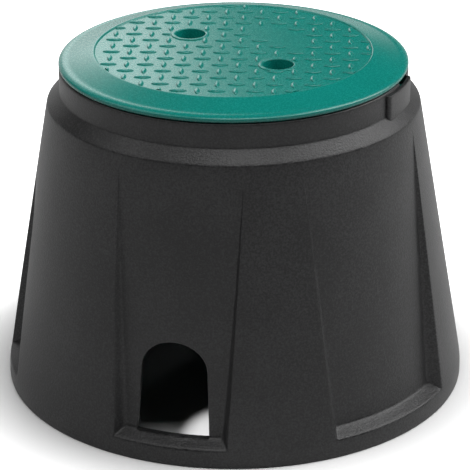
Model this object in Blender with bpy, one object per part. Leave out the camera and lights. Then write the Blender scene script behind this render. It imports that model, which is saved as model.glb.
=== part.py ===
"""Round irrigation valve box, 10 inch size: a tapered moulded body and a tread lid that drops in and twists shut.

Metres, +Z up. The body stands on z = 0 and its axis is x = y = 0.
An azimuth is in degrees: 0 faces the front (-Y) and positive turns towards +X.
"""
import math

import bpy

# Body, outer form
BASE_RADIUS = 0.170
BASE_BAND_HEIGHT = 0.010
BASE_CHAMFER = 0.0012
SHOULDER_RADIUS = 0.1352
SHOULDER_HEIGHT = 0.2129
NECK_RADIUS = 0.1258
SHOULDER_RISE = 0.0092
NECK_HEIGHT = 0.0176
NECK_CHAMFER = 0.0018
BODY_WALL = 0.004

# Recessed panels: they fade out at the top and end on a sloping ledge at the foot
PANEL_DEPTH = 0.0102
LEDGE_HEIGHT = 0.0135
LEDGE_RISE = 0.005
PANEL_TOP_MARGIN = 0.0085
NARROW_PANEL_TOP_HEIGHT = 0.158
PANEL_SIDE_DRAFT = 0.42
PANEL_EDGE_RUN = 0.0006
PIPE_PANEL_AZIMUTH = -16.2
PIPE_PANEL_HALF_ANGLES = (14.4, 19.0)
WIDE_PANEL_AZIMUTH = 43.9
WIDE_PANEL_HALF_ANGLES = (19.2, 23.8)
NARROW_PANEL_AZIMUTH = 98.2
NARROW_PANEL_HALF_ANGLES = (9.8, 3.0)

# Pipe arches, one in each pipe panel
ARCH_SILL_DROP = 0.0006
ARCH_FOOT_WIDTH = 0.0526
ARCH_SPRING_WIDTH = 0.0476
ARCH_SPRING_HEIGHT = 0.0645
ARCH_RISE = 0.021

# Twist lock: two bosses on the neck hide the pockets that take the lugs of the lid
BOSS_AZIMUTH = 68.0
BOSS_HALF_ANGLE = 10.5
BOSS_END_ANGLE = 1.1
BOSS_TOP_DROP = 0.0022
BOSS_WALL = 0.0027
LOCK_ROOF = 0.0045
LUG_HALF_ANGLE = 3.8
LUG_HEIGHT = 0.0038
LUG_REACH = 0.0045
LUG_SIDE_CLEARANCE = 0.0006
LUG_ROOF_CLEARANCE = 0.0008
LUG_FLOOR_CLEARANCE = 0.0012

# Lid
SEAT_GAP = 0.0003
SPIGOT_CLEARANCE = 0.0008
SPIGOT_WALL = 0.0025
SPIGOT_LIP = 0.0005
LID_WALL = 0.0034
LID_CROWN_HEIGHT = 0.0100
LIP_CHAMFER = 0.0014
LIP_EDGE_HEIGHT = 0.0008
LIP_ROUND_WIDTH = 0.006
LIP_ROUND_HEIGHT = 0.0026
BAND_WIDTH = 0.0265
FIELD_STEP_RUN = 0.0008
FIELD_DROP = 0.0010
RIB_THICKNESS = 0.002
RIB_DROP = 0.0016
RING_RIB_DROP = 0.0008
RIB_COUNT = 8
RING_RIB_INSET = 0.026
HUB_RIB_RADIUS = 0.015

# Finger holes of the lid
HOLE_AZIMUTH = 43.0
HOLE_PITCH_RADIUS = 0.0461
HOLE_RADIUS = 0.011
SLEEVE_WALL = 0.003
SLEEVE_DROP = 0.0024
COLLAR_HEIGHT = 0.0007

# Raised tread bars: a square lattice whose bars lie along its rows and columns by turns
TREAD_PITCH = 0.0132
TREAD_TURN = -2.5
TREAD_OFFSET = (0.0051, 0.0056)
BAR_LENGTH = 0.0122
BAR_WIDTH = 0.0038
BAR_HEIGHT = 0.0010
BAR_WAIST_SHARE = 0.22
BAR_TOP_SHARE = 0.4
BAR_ROOT = 0.0005
BAR_MARGIN = 0.0008
PLATE_AZIMUTH = 126.0
PLATE_RADIUS = 0.044
PLATE_HALF_LENGTH = 0.029
PLATE_HALF_WIDTH = 0.012

# Facets
FLOOR_STEPS = 7
LAND_STEPS = 6
LID_SEGMENTS = 72
LIP_SEGMENTS = 3
ARCH_SEGMENTS = 12
ROUND_SEGMENTS = 22

# Sizes that follow from the ones above
NECK_FOOT_HEIGHT = SHOULDER_HEIGHT + SHOULDER_RISE
SEAT_HEIGHT = NECK_FOOT_HEIGHT + NECK_HEIGHT
LID_SEAT_HEIGHT = SEAT_HEIGHT + SEAT_GAP
NECK_BORE = NECK_RADIUS - BODY_WALL
PANEL_TOP_HEIGHT = SHOULDER_HEIGHT - PANEL_TOP_MARGIN
PANEL_FOOT_HEIGHT = LEDGE_HEIGHT + LEDGE_RISE
SPIGOT_RADIUS = NECK_BORE - SPIGOT_CLEARANCE
SPIGOT_BORE = SPIGOT_RADIUS - SPIGOT_WALL
LUG_RADIUS = SPIGOT_RADIUS + LUG_REACH
POCKET_RADIUS = LUG_RADIUS + LUG_SIDE_CLEARANCE
BOSS_RADIUS = POCKET_RADIUS + BOSS_WALL
BOSS_TOP_HEIGHT = SEAT_HEIGHT - BOSS_TOP_DROP
ROOF_HEIGHT = BOSS_TOP_HEIGHT - LOCK_ROOF
LUG_TOP_HEIGHT = ROOF_HEIGHT - LUG_ROOF_CLEARANCE
LUG_FOOT_HEIGHT = LUG_TOP_HEIGHT - LUG_HEIGHT
POCKET_FLOOR_HEIGHT = LUG_FOOT_HEIGHT - LUG_FLOOR_CLEARANCE
MOUTH_AZIMUTH = BOSS_AZIMUTH + (BOSS_HALF_ANGLE - BOSS_END_ANGLE) / 2
FIELD_RADIUS = NECK_RADIUS - BAND_WIDTH
RING_RIB_RADIUS = FIELD_RADIUS - RING_RIB_INSET
FIELD_HEIGHT = LID_CROWN_HEIGHT - FIELD_DROP
CREST_RADIUS = FIELD_RADIUS + FIELD_STEP_RUN
OPPOSITE = 180.0
QUARTER_TURN = 90.0


def direction(azimuth):
    """Unit vector in plan that points outwards at an azimuth."""
    angle = math.radians(azimuth)
    return math.sin(angle), -math.cos(angle)


def on_circle(radius, azimuth, height):
    """Point at a radius, azimuth and height."""
    east, north = direction(azimuth)
    return radius * east, radius * north, height


def between(low, high, share):
    """Value at a share of the way from low to high."""
    return low + (high - low) * share


def height_on_line(start, end, radius):
    """Height at a radius on the straight line through two (radius, height) points."""
    return between(start[1], end[1], (radius - start[0]) / (end[0] - start[0]))


def radius_on_line(start, end, height):
    """Radius at a height on the straight line through two (radius, height) points."""
    return between(start[0], end[0], (height - start[1]) / (end[1] - start[1]))


def offset_profile(points, distance):
    """Profile moved inwards by a wall thickness, with mitred corners.

    The points are (radius, height) pairs that run from the foot upwards.
    """
    normals = []
    for (r0, z0), (r1, z1) in zip(points, points[1:]):
        length = math.hypot(r1 - r0, z1 - z0)
        normals.append(((z0 - z1) / length, (r1 - r0) / length))
    moved = []
    for index, (radius, height) in enumerate(points):
        before = normals[max(index - 1, 0)]
        after = normals[min(index, len(normals) - 1)]
        mitre = distance / (1 + before[0] * after[0] + before[1] * after[1])
        moved.append((radius + (before[0] + after[0]) * mitre, height + (before[1] + after[1]) * mitre))
    return moved


def mesh_object(name, vertices, faces, material=None, parent=None):
    """New mesh object with all faces turned outwards."""
    mesh = bpy.data.meshes.new(name)
    mesh.from_pydata(vertices, [], faces)
    mesh.validate()
    item = bpy.data.objects.new(name, mesh)
    item.parent = parent
    bpy.context.scene.collection.objects.link(item)
    if material:
        mesh.materials.append(material)
        mesh.shade_smooth()
        mesh.set_sharp_from_angle(angle=math.radians(32))
    return item


def plastic(name, colour, roughness):
    """Moulded plastic material."""
    material = bpy.data.materials.new(name)
    material.use_nodes = True
    shader = material.node_tree.nodes["Principled BSDF"]
    shader.inputs["Base Color"].default_value = (*colour, 1.0)
    shader.inputs["Roughness"].default_value = roughness
    shader.inputs["Metallic"].default_value = 0.0
    return material


def join_or_cut(target, tool, operation):
    """Add a tool solid to a piece (UNION) or take it away (DIFFERENCE)."""
    tool.hide_render = True
    tool.display_type = "WIRE"
    modifier = target.modifiers.new(tool.name, "BOOLEAN")
    modifier.operation = operation
    modifier.solver = "EXACT"
    modifier.object = tool


def ring_faces(rows, columns):
    """Quads of a closed tube of vertex rows, from the outside of each row to the next."""
    faces = []
    for row in range(rows - 1):
        for column in range(columns):
            right = (column + 1) % columns
            faces.append((row * columns + column, row * columns + right,
                          (row + 1) * columns + right, (row + 1) * columns + column))
    return faces


def turned_ring(name, profile, segments, first_azimuth, parent):
    """Solid of revolution of a closed profile that keeps clear of the axis."""
    vertices = []
    for radius, height in profile:
        vertices += [on_circle(radius, first_azimuth + 360 * step / segments, height) for step in range(segments)]
    faces = ring_faces(len(profile), segments)
    last = (len(profile) - 1) * segments
    faces += [(last + step, last + (step + 1) % segments, (step + 1) % segments, step)
              for step in range(segments)]
    return mesh_object(name, vertices, faces, None, parent)


def turned_disc(name, profile, segments, material):
    """Solid of revolution of a profile whose first and last points close on the axis."""
    vertices = []
    for radius, height in profile[1:-1]:
        vertices += [on_circle(radius, 360 * step / segments, height) for step in range(segments)]
    faces = ring_faces(len(profile) - 2, segments)
    bottom = len(vertices)
    top = bottom + 1
    vertices += [(0.0, 0.0, profile[0][1]), (0.0, 0.0, profile[-1][1])]
    last = (len(profile) - 3) * segments
    for step in range(segments):
        right = (step + 1) % segments
        faces.append((bottom, right, step))
        faces.append((top, last + step, last + right))
    return mesh_object(name, vertices, faces, material)


def extruded(name, bottom_ring, top_ring, parent=None):
    """Solid between two outlines with the same number of points, anticlockwise seen from the second."""
    count = len(bottom_ring)
    faces = ring_faces(2, count)
    faces.append(tuple(reversed(range(count))))
    faces.append(tuple(range(count, 2 * count)))
    return mesh_object(name, bottom_ring + top_ring, faces, None, parent)


def ring_sector(name, inner, outer, low, high, azimuth, half_angle, steps=6, parent=None):
    """Block between two radii and two heights that follows the round of the neck."""
    angles = [azimuth + half_angle * (2 * step / steps - 1) for step in range(steps + 1)]
    outline = [(outer, angle) for angle in angles] + [(inner, angle) for angle in reversed(angles)]
    rings = [[on_circle(radius, angle, height) for radius, angle in outline] for height in (low, high)]
    return extruded(name, *rings, parent=parent)


class Panel:
    """Recessed panel: its azimuth, its half angles at foot and top, and the height where it fades out."""

    def __init__(self, azimuth, half_angles, top_height):
        self.azimuth = azimuth
        self.half_angles = half_angles
        self.top_height = top_height

    def share(self, height):
        """Share of the way up the panel, held to its ends."""
        share = (height - PANEL_FOOT_HEIGHT) / (self.top_height - PANEL_FOOT_HEIGHT)
        return min(max(share, 0.0), 1.0)

    def edge(self, height, side):
        """Azimuth of the outer edge of the recess, on side -1 or +1."""
        return self.azimuth + side * between(*self.half_angles, self.share(height))

    def floor_edge(self, height, side):
        """Azimuth where the floor of the recess meets its sloping side."""
        run = PANEL_EDGE_RUN + PANEL_SIDE_DRAFT * PANEL_DEPTH * (1 - self.share(height))
        return self.edge(height, side) - side * math.degrees(run / BASE_RADIUS)

    def profile(self, heights):
        """Outer profile through the middle of the panel at the given heights."""
        foot = (land_radius(PANEL_FOOT_HEIGHT) - PANEL_DEPTH, PANEL_FOOT_HEIGHT)
        top = (land_radius(self.top_height), self.top_height)
        points = []
        for height in heights:
            if PANEL_FOOT_HEIGHT <= height <= self.top_height:
                points.append((radius_on_line(foot, top, height), height))
            else:
                points.append((land_radius(height), height))
        return points


def land_radius(height):
    """Outer radius of the body between its panels, up to the foot of the neck."""
    corners = [(BASE_RADIUS, 0.0), (BASE_RADIUS, BASE_BAND_HEIGHT),
               (SHOULDER_RADIUS, SHOULDER_HEIGHT), (NECK_RADIUS, NECK_FOOT_HEIGHT)]
    for start, end in zip(corners, corners[1:]):
        if height <= end[1]:
            return radius_on_line(start, end, height)
    return NECK_RADIUS


def land_shares(left, right):
    """Shares of the columns of a land between two azimuths.

    The one nearest to a quarter turn is moved onto it, so that the base measures its full diameter.
    """
    shares = [step / LAND_STEPS for step in range(LAND_STEPS + 1)]
    quarter = math.ceil(left / QUARTER_TURN) * QUARTER_TURN
    if quarter < right:
        share = (quarter - left) / (right - left)
        nearest = min(max(round(share * LAND_STEPS), 1), LAND_STEPS - 1)
        shares[nearest] = share
    return shares


def body_columns(panels, widening):
    """Columns of the skin: each is the panel whose profile it follows, or None, and its azimuth by height.

    The skin is widened at each panel by an angle, which is the wall thickness on the inner skin.
    """
    def floor_azimuth(panel, share, height):
        left = panel.floor_edge(height, -1) - widening
        right = panel.floor_edge(height, 1) + widening
        return between(left, right, share)

    def land_azimuth(panel, following, turns, share, height):
        left = panel.edge(height, 1) + widening
        right = following.edge(height, -1) - widening + 360 * turns
        return between(left, right, share)

    columns = []
    for index, panel in enumerate(panels):
        following = panels[(index + 1) % len(panels)]
        turns = 1 if index + 1 == len(panels) else 0
        for step in range(FLOOR_STEPS + 1):
            share = step / FLOOR_STEPS
            columns.append((panel, lambda height, p=panel, s=share: floor_azimuth(p, s, height)))
        foot = (panel.edge(0.0, 1), following.edge(0.0, -1) + 360 * turns)
        for share in land_shares(*foot):
            columns.append((None, lambda height, p=panel, f=following, t=turns, s=share:
                            land_azimuth(p, f, t, s, height)))
    return columns


def skin_rows(panels, heights, wall, rim):
    """Vertex rows of one skin of the body, from the ground to the rim of the neck."""
    widening = math.degrees(wall / BASE_RADIUS)
    columns = body_columns(panels, widening)
    land = [(land_radius(height), height) for height in heights]
    strips = []
    for panel, azimuth in columns:
        points = panel.profile(heights) if panel else land
        outer = points + [(NECK_RADIUS, SEAT_HEIGHT)]
        points = offset_profile(outer, wall) if wall else outer
        points = points[:-1] + rim
        strips.append([on_circle(radius, azimuth(min(height, SHOULDER_HEIGHT)), height) for radius, height in points])
    return [list(row) for row in zip(*strips)]


def make_body(material):
    """Moulded body: an outer and an inner skin one wall apart, then the arches, bosses and lock pockets."""
    shapes = ((PIPE_PANEL_AZIMUTH, PIPE_PANEL_HALF_ANGLES, PANEL_TOP_HEIGHT),
              (WIDE_PANEL_AZIMUTH, WIDE_PANEL_HALF_ANGLES, PANEL_TOP_HEIGHT),
              (NARROW_PANEL_AZIMUTH, NARROW_PANEL_HALF_ANGLES, NARROW_PANEL_TOP_HEIGHT))
    panels = [Panel(azimuth + turn, angles, top) for turn in (0, OPPOSITE) for azimuth, angles, top in shapes]
    middle = (PANEL_FOOT_HEIGHT + NARROW_PANEL_TOP_HEIGHT) / 2
    heights = [0.0, BASE_BAND_HEIGHT, LEDGE_HEIGHT, PANEL_FOOT_HEIGHT, middle, NARROW_PANEL_TOP_HEIGHT,
               PANEL_TOP_HEIGHT, SHOULDER_HEIGHT, NECK_FOOT_HEIGHT]
    outer_rim = [(NECK_RADIUS, SEAT_HEIGHT - NECK_CHAMFER), (NECK_RADIUS - NECK_CHAMFER, SEAT_HEIGHT)]
    inner_rim = [(NECK_BORE, SEAT_HEIGHT)]
    outer = skin_rows(panels, heights, 0.0, outer_rim)
    inner = skin_rows(panels, heights, BODY_WALL, inner_rim)
    scale = 1 - BASE_CHAMFER / BASE_RADIUS
    foot = [(x * scale, y * scale, 0.0) for x, y, z in outer[0]]
    raised = [(x, y, BASE_CHAMFER) for x, y, z in outer[0]]
    rows = [foot, raised] + outer[1:] + inner[::-1]
    columns = len(foot)
    vertices = [vertex for row in rows for vertex in row]
    faces = ring_faces(len(rows), columns)
    last = (len(rows) - 1) * columns
    faces += [(last + step, last + (step + 1) % columns, (step + 1) % columns, step) for step in range(columns)]
    body = mesh_object("valve_box_body", vertices, faces, material)
    for turn in (0, OPPOSITE):
        join_or_cut(body, pipe_arch(PIPE_PANEL_AZIMUTH + turn), "DIFFERENCE")
    for turn in (0, OPPOSITE):
        add_lock_boss(body, BOSS_AZIMUTH + turn)
    return body


def pipe_arch(azimuth):
    """Cutter of one pipe opening: a sill, sides that lean in and an elliptical head."""
    sill = PANEL_FOOT_HEIGHT - ARCH_SILL_DROP
    outline = [(-ARCH_FOOT_WIDTH / 2, sill), (ARCH_FOOT_WIDTH / 2, sill)]
    for step in range(ARCH_SEGMENTS + 1):
        angle = math.pi * step / ARCH_SEGMENTS
        outline.append((ARCH_SPRING_WIDTH / 2 * math.cos(angle), ARCH_SPRING_HEIGHT + ARCH_RISE * math.sin(angle)))
    east, north = direction(azimuth)
    rings = []
    for radius in (SHOULDER_RADIUS - PANEL_DEPTH - BODY_WALL, BASE_RADIUS + BODY_WALL):
        rings.append([(radius * east - across * north, radius * north + across * east, height)
                      for across, height in outline])
    return extruded(f"pipe_arch_{azimuth:.0f}", *rings)


def add_lock_boss(body, azimuth):
    """Boss on the neck with its pocket, open at the top on one half and roofed over where the lug locks.

    Its foot runs a little into the sloping shoulder.
    """
    in_wall = NECK_RADIUS - BODY_WALL / 4
    foot = NECK_FOOT_HEIGHT + NECK_RADIUS - BOSS_RADIUS - BODY_WALL / 3
    boss = ring_sector(f"boss_{azimuth:.0f}", in_wall, BOSS_RADIUS, foot, BOSS_TOP_HEIGHT,
                       azimuth, BOSS_HALF_ANGLE, 8)
    join_or_cut(body, boss, "UNION")
    half = BOSS_HALF_ANGLE - BOSS_END_ANGLE
    under = ring_sector(f"pocket_{azimuth:.0f}", SPIGOT_BORE, POCKET_RADIUS, POCKET_FLOOR_HEIGHT,
                        ROOF_HEIGHT, azimuth, half, 8)
    join_or_cut(body, under, "DIFFERENCE")
    mouth = ring_sector(f"mouth_{azimuth:.0f}", SPIGOT_BORE, POCKET_RADIUS,
                        (POCKET_FLOOR_HEIGHT + ROOF_HEIGHT) / 2, SEAT_HEIGHT + BODY_WALL,
                        azimuth + half / 2, half / 2, 4)
    join_or_cut(body, mouth, "DIFFERENCE")


def band_height(radius):
    """Height above its seat of the cone that rises from the lip of the lid to the tread field."""
    lip = (NECK_RADIUS - LIP_ROUND_WIDTH, LIP_CHAMFER + LIP_EDGE_HEIGHT + LIP_ROUND_HEIGHT)
    return height_on_line(lip, (CREST_RADIUS, LID_CROWN_HEIGHT), radius)


def lid_profile(spigot_foot):
    """Closed profile of the lid from the middle of its underside, round the spigot and lip, to its top."""
    field = FIELD_HEIGHT - LID_WALL
    points = [(0.0, field), (FIELD_RADIUS, field), (SPIGOT_BORE, band_height(SPIGOT_BORE) - LID_WALL),
              (SPIGOT_BORE, spigot_foot), (SPIGOT_RADIUS, spigot_foot), (SPIGOT_RADIUS, 0.0),
              (NECK_RADIUS - NECK_CHAMFER, 0.0), (NECK_RADIUS - LIP_CHAMFER / 2, LIP_CHAMFER / 4),
              (NECK_RADIUS, LIP_CHAMFER)]
    edge_top = LIP_CHAMFER + LIP_EDGE_HEIGHT
    for step in range(LIP_SEGMENTS + 1):
        angle = math.pi / 2 * step / LIP_SEGMENTS
        points.append((NECK_RADIUS - LIP_ROUND_WIDTH * (1 - math.cos(angle)),
                       edge_top + LIP_ROUND_HEIGHT * math.sin(angle)))
    points += [(CREST_RADIUS, LID_CROWN_HEIGHT), (FIELD_RADIUS, FIELD_HEIGHT), (0.0, FIELD_HEIGHT)]
    return points


def make_lid(material):
    """Lid: a domed disc with a spigot and lugs, ribs beneath, two sleeved finger holes and tread bars."""
    spigot_foot = LUG_FOOT_HEIGHT - SPIGOT_LIP - LID_SEAT_HEIGHT
    lid = turned_disc("twist_lock_lid", lid_profile(spigot_foot), LID_SEGMENTS, material)
    lid.location.z = LID_SEAT_HEIGHT
    for index in range(RIB_COUNT):
        azimuth = HOLE_AZIMUTH + 360 * (index + 0.5) / RIB_COUNT
        join_or_cut(lid, radial_rib(azimuth, lid), "UNION")
    for name, radius in (("ring_rib", RING_RIB_RADIUS), ("hub_rib", HUB_RIB_RADIUS)):
        half = RIB_THICKNESS / 2
        in_plate = FIELD_HEIGHT - LID_WALL / 3
        section = [(radius - half, -RING_RIB_DROP), (radius + half, -RING_RIB_DROP),
                   (radius + half, in_plate), (radius - half, in_plate)]
        between_facets = 180 / LID_SEGMENTS
        join_or_cut(lid, turned_ring(name, section, LID_SEGMENTS // 2, between_facets, lid), "UNION")
    holes = [(HOLE_PITCH_RADIUS, HOLE_AZIMUTH + turn) for turn in (0, OPPOSITE)]
    for index, place in enumerate(holes):
        sleeve = round_post(f"sleeve_{index}", place, HOLE_RADIUS + SLEEVE_WALL, -SLEEVE_DROP,
                            FIELD_HEIGHT + COLLAR_HEIGHT, lid)
        join_or_cut(lid, sleeve, "UNION")
    join_or_cut(lid, tread_bars(holes, lid), "UNION")
    for index, turn in enumerate((0, OPPOSITE)):
        lug = ring_sector(f"lug_{index}", (SPIGOT_BORE + SPIGOT_RADIUS) / 2, LUG_RADIUS,
                          LUG_FOOT_HEIGHT - LID_SEAT_HEIGHT, LUG_TOP_HEIGHT - LID_SEAT_HEIGHT,
                          MOUTH_AZIMUTH + turn, LUG_HALF_ANGLE, 4, lid)
        join_or_cut(lid, lug, "UNION")
    for index, place in enumerate(holes):
        bore = round_post(f"bore_{index}", place, HOLE_RADIUS, -SLEEVE_DROP - LID_WALL,
                          LID_CROWN_HEIGHT + LID_WALL, lid)
        join_or_cut(lid, bore, "DIFFERENCE")
    return lid


def round_post(name, place, radius, low, high, parent):
    """Upright cylinder at a (radius, azimuth) place."""
    x, y, z = on_circle(*place, 0.0)
    rings = [[(x + radius * math.cos(angle), y + radius * math.sin(angle), height)
              for angle in (math.tau * step / ROUND_SEGMENTS for step in range(ROUND_SEGMENTS))]
             for height in (low, high)]
    return extruded(name, *rings, parent=parent)


def radial_rib(azimuth, parent):
    """Rib under the lid from the hub to the spigot, with its top inside the plate."""
    foot = -RIB_DROP
    in_plate = FIELD_HEIGHT - LID_WALL / 2
    in_spigot = (SPIGOT_BORE + SPIGOT_RADIUS) / 2
    under_band = band_height(in_spigot) - LID_WALL / 2
    side = [(HUB_RIB_RADIUS, foot), (in_spigot, foot), (in_spigot, under_band),
            (FIELD_RADIUS, in_plate), (HUB_RIB_RADIUS, in_plate)]
    east, north = direction(azimuth)
    rings = []
    for across in (RIB_THICKNESS / 2, -RIB_THICKNESS / 2):
        rings.append([(radius * east - across * north, radius * north + across * east, height)
                      for radius, height in side])
    return extruded(f"rib_{azimuth:.0f}", *rings, parent=parent)


def bar_is_kept(x, y, angle, holes):
    """True where a whole tread bar fits: inside the field, off the collars and off the plain plate."""
    half = BAR_LENGTH / 2
    cosine, sine = math.cos(angle), math.sin(angle)
    rim = FIELD_RADIUS - BAR_MARGIN
    tips = [math.hypot(x + end * cosine, y + end * sine) for end in (-half, half)]
    if max(tips) > rim or math.hypot(x, y) > rim - BAR_WIDTH / 2:
        return False
    for place in holes:
        hole_x, hole_y, height = on_circle(*place, 0.0)
        along = (hole_x - x) * cosine + (hole_y - y) * sine
        nearest = min(max(along, -half), half)
        gap = math.hypot(x + nearest * cosine - hole_x, y + nearest * sine - hole_y)
        if gap < HOLE_RADIUS + SLEEVE_WALL + BAR_MARGIN:
            return False
    out = direction(PLATE_AZIMUTH)
    along = -x * out[1] + y * out[0]
    outwards = x * out[0] + y * out[1] - PLATE_RADIUS
    return math.hypot(along / PLATE_HALF_LENGTH, outwards / PLATE_HALF_WIDTH) > 1.0


def tread_bars(holes, parent):
    """All tread bars as pointed lozenges with a narrower flat top, rooted in the field."""
    lens = ((0.5, 0.0), (BAR_WAIST_SHARE, 0.5), (-BAR_WAIST_SHARE, 0.5),
            (-0.5, 0.0), (-BAR_WAIST_SHARE, -0.5), (BAR_WAIST_SHARE, -0.5))
    levels = ((1.0, FIELD_HEIGHT - BAR_ROOT), (BAR_TOP_SHARE, FIELD_HEIGHT + BAR_HEIGHT))
    turn = math.radians(TREAD_TURN)
    reach = math.ceil(FIELD_RADIUS / TREAD_PITCH) + 1
    vertices = []
    faces = []
    count = len(lens)
    for row in range(-reach, reach + 1):
        for column in range(-reach, reach + 1):
            across = column * TREAD_PITCH + TREAD_OFFSET[0]
            up = row * TREAD_PITCH + TREAD_OFFSET[1]
            x = across * math.cos(turn) - up * math.sin(turn)
            y = across * math.sin(turn) + up * math.cos(turn)
            angle = turn + math.radians(90 * ((row + column) % 2))
            if not bar_is_kept(x, y, angle, holes):
                continue
            base = len(vertices)
            for share, height in levels:
                for length, width in lens:
                    along = length * (BAR_LENGTH - BAR_WIDTH * (1 - share))
                    aside = width * BAR_WIDTH * share
                    vertices.append((x + along * math.cos(angle) - aside * math.sin(angle),
                                     y + along * math.sin(angle) + aside * math.cos(angle), height))
            faces += [tuple(base + index for index in face) for face in ring_faces(len(levels), count)]
            faces.append(tuple(base + index for index in reversed(range(count))))
            faces.append(tuple(base + index for index in range(count, 2 * count)))
    return mesh_object("tread_bars", vertices, faces, None, parent)


for item in list(bpy.data.objects):
    bpy.data.objects.remove(item)
make_body(plastic("body_polyethylene", (0.032, 0.032, 0.033), 0.62))
make_lid(plastic("lid_polypropylene", (0.010, 0.250, 0.200), 0.34))
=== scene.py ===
import collections
import math

import bpy
import numpy as np
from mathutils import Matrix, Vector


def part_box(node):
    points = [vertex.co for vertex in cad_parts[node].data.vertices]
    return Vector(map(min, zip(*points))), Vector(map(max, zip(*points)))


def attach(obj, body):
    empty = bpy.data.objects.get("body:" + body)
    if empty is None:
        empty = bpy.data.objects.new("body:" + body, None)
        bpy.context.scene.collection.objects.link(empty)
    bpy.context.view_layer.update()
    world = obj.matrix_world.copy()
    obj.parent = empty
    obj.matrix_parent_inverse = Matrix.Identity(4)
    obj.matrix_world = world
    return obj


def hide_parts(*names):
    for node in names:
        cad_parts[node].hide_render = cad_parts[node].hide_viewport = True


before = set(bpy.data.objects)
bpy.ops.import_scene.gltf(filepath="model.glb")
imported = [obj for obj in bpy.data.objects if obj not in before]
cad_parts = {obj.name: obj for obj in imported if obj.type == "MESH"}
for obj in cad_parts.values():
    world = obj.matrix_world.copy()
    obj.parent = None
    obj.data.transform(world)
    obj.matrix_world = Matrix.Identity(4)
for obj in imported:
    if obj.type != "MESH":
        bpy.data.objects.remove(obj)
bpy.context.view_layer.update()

# Moulded body
# One moulding in black polyethylene: a tapered shell, open at its base, that is sunk in the ground round the
# valves. Recessed panels stiffen its sides, and two of them have an arch where the pipes pass through.
# The panels, arches, bosses, lugs and finger holes come again after half a turn.
HALF_TURNS = (0.0, 180.0)
body_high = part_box("valve_box_body")[1]
BASE_RADIUS = body_high.x
SEAT_HEIGHT = body_high.z
BODY_WALL = 0.004
BASE_BAND_HEIGHT = 0.010
SHOULDER_RADIUS = 0.1352
SHOULDER_HEIGHT = 0.2129
SHOULDER_RISE = 0.0092
NECK_RADIUS = 0.1258
NECK_FOOT_HEIGHT = SHOULDER_HEIGHT + SHOULDER_RISE
CORNER_BLEND = 0.0006
BASE_EDGE_ROUND = 0.0012
NECK_EDGE_ROUND = 0.0018
BORE_EDGE_ROUND = 0.0005
PANEL_DEPTH = 0.0102
PANEL_TOP_GAP = 0.0085
PANEL_TOP_HEIGHT = SHOULDER_HEIGHT - PANEL_TOP_GAP
LEDGE_HEIGHT = 0.0135
LEDGE_RISE = 0.005
PANEL_FOOT_HEIGHT = LEDGE_HEIGHT + LEDGE_RISE
SIDE_DRAFT = 0.42
SIDE_FILLET = 0.0022
LEDGE_FILLET = 0.0022
EDGE_BLEND = 0.0009
Panel = collections.namedtuple("Panel", "azimuth foot_half_angle top_half_angle fade_height")
PIPE_PANEL = Panel(-16.2, 14.4, 19.0, PANEL_TOP_HEIGHT)
WIDE_PANEL = Panel(43.9, 19.2, 23.8, PANEL_TOP_HEIGHT)
NARROW_PANEL = Panel(98.2, 9.8, 3.0, 0.158)
PANELS = [panel._replace(azimuth=panel.azimuth + turn)
          for turn in HALF_TURNS for panel in (PIPE_PANEL, WIDE_PANEL, NARROW_PANEL)]
ARCH_PANELS = (0, len(PANELS) // 2)
SILL_DROP = 0.0006
ARCH_SILL_HEIGHT = PANEL_FOOT_HEIGHT - SILL_DROP
ARCH_FOOT_WIDTH = 0.0526
ARCH_SPRING_WIDTH = 0.0476
ARCH_SPRING_HEIGHT = 0.0645
ARCH_RISE = 0.021
ARCH_EDGE_ROUND = 0.0006
# Between these heights an arch's panel floor is left out of both skins, and rings of points fill the gap.
ARCH_BLOCK_LOW = 0.0105
ARCH_BLOCK_HIGH = 0.100
SILL_SHARE = 0.25
# The mesh is fine along a panel's edge, as far out and in as this but within most of a narrow panel's half,
# and at the bends of the outline. Its steps grow from the edge as a power.
FINE_OUTSIDE = 0.004
FINE_OUTSIDE_POWER = 1.5
FINE_INSIDE = 0.0095
FINE_INSIDE_POWER = 1.25
FINE_ROOM = 0.85
FINE_BEND = 0.0015
FINE_LEDGE_TOP = 0.030
FLOOR_CELL = 0.0045
LAND_CELL = 0.0055
ARCH_RING_POWER = 1.3
SHARP_ANGLE = 35.0


def soft_min(a, b, blend):
    """Lesser of two sizes with the corner rounded: half of a + b - sqrt((a - b)^2 + blend^2)."""
    return (a + b - np.sqrt((a - b) ** 2 + blend ** 2)) / 2


def soft_max(a, b, blend):
    """Greater of two sizes with the corner rounded: half of a + b + sqrt((a - b)^2 + blend^2)."""
    return (a + b + np.sqrt((a - b) ** 2 + blend ** 2)) / 2


def land_radius(height, wall):
    """Radius between the panels: the least of an upright band, a cone and a sloping shoulder, but not less
    than the neck. Each is moved in by the wall, which is measured square to it."""
    taper = (BASE_RADIUS - SHOULDER_RADIUS) / (SHOULDER_HEIGHT - BASE_BAND_HEIGHT)
    lean = (SHOULDER_RADIUS - NECK_RADIUS) / (NECK_FOOT_HEIGHT - SHOULDER_HEIGHT)
    cone = BASE_RADIUS - taper * (height - BASE_BAND_HEIGHT) - wall * math.hypot(1, taper)
    shoulder = SHOULDER_RADIUS - lean * (height - SHOULDER_HEIGHT) - wall * math.hypot(1, lean)
    side = soft_min(soft_min(cone, BASE_RADIUS - wall, CORNER_BLEND), shoulder, CORNER_BLEND)
    return soft_max(side, NECK_RADIUS - wall, CORNER_BLEND)


def panel_half_angle(panel, height):
    """Half angle of a panel, straight from its foot to the height where it fades out."""
    share = np.clip((height - PANEL_FOOT_HEIGHT) / (panel.fade_height - PANEL_FOOT_HEIGHT), 0.0, 1.0)
    return panel.foot_half_angle + (panel.top_half_angle - panel.foot_half_angle) * share


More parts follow.
